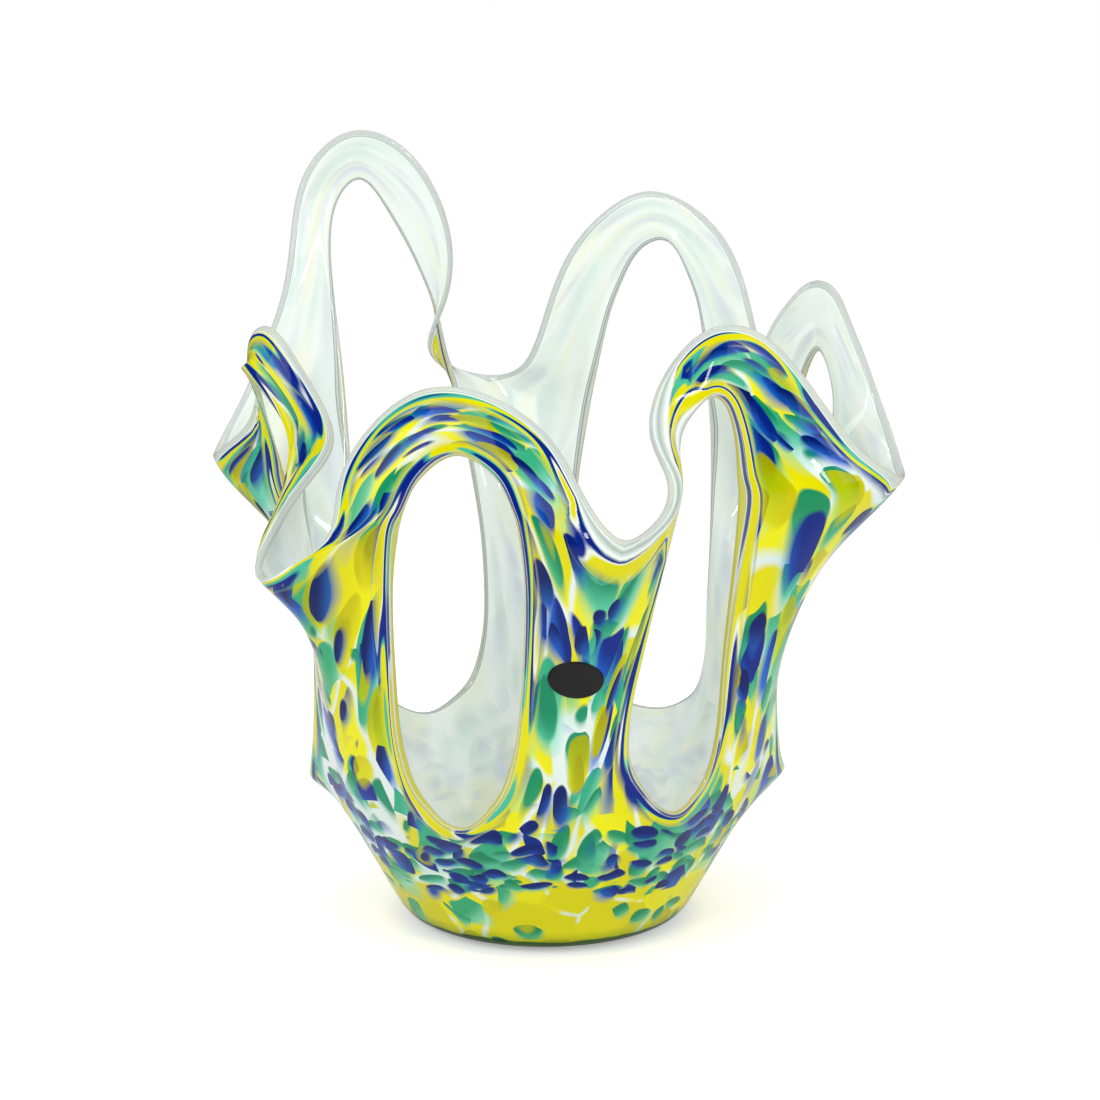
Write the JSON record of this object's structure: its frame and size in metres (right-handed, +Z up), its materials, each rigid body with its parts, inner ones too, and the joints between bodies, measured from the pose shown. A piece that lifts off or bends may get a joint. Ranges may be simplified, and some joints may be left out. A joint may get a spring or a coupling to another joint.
{
  "type": "art glass vase",
  "caption": "Blown art glass vase with a flat foot, flaring bowl, oval windows between pillars, and a rim pulled into flared lips and tall arches",
  "frame": {"origin": "middle of the flat foot, on the surface that the vase stands on", "axes": "+Z up through the mouth, -Y to the front pillar with the label, +X to the right seen from the front"},
  "size_m": [0.2662, 0.2261, 0.2981],
  "materials": {
    "cased_glass": "fire-polished opal glass cased with yellow, blue and green chips",
    "label_foil": "plain black foil label"
  },
  "bodies": {
    "root": {"vase": "cased_glass", "oval_label": "label_foil"}
  },
  "joints": []
}
